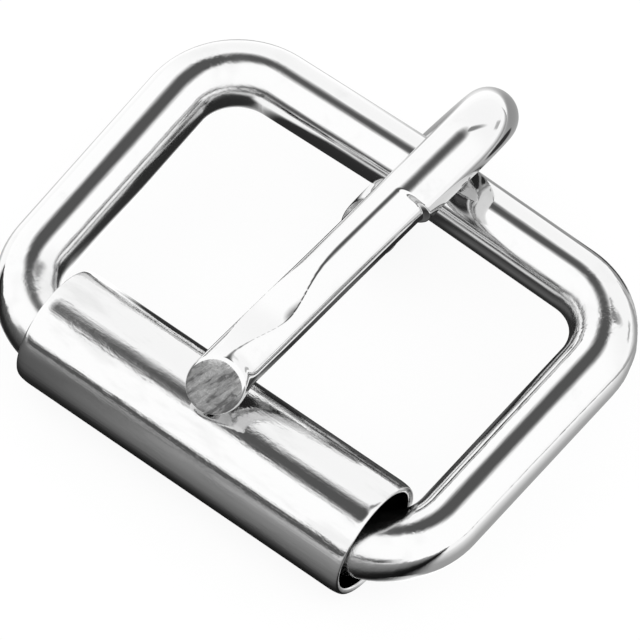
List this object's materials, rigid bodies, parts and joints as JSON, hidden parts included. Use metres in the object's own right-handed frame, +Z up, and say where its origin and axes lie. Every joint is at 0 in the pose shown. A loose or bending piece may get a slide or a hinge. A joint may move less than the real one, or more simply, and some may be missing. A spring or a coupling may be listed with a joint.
{
  "type": "roller buckle",
  "caption": "Strap buckle: a closed wire frame with a free-turning tube roller on its front bar and a wire tongue that swings on its back bar.",
  "frame": {"origin": "centre of the bounding box in X and Y, at the height of the surface that the buckle lies on", "axes": "+X along the two bars, +Y from the roller to the bar that carries the tongue, +Z up off the surface"},
  "size_m": [0.034, 0.0314, 0.0123],
  "materials": {
    "frame_plating": "bright polished nickel plating on round steel wire",
    "roller_plating": "bright nickel plating on rolled sheet steel, with fine lengthwise rolling marks",
    "tongue_plating": "bright polished nickel plating on round steel wire, with a dull grey shear-cut end"
  },
  "bodies": {
    "frame": {"frame": "frame_plating"},
    "roller": {"roller": "roller_plating"},
    "tongue": {"tongue": "tongue_plating"}
  },
  "joints": [
    {"name": "tongue_swing", "type": "hinge", "parent": "frame", "child": "tongue", "pos_m": [-0.00016, 0.00911, 0.00618], "axis": [-1, 0, 0], "range_deg": [0, 327]},
    {"name": "roller_spin", "type": "hinge", "parent": "frame", "child": "roller", "pos_m": [0.0008, -0.01198, 0.0037], "axis": [1, 0, 0], "continuous": true}
  ]
}
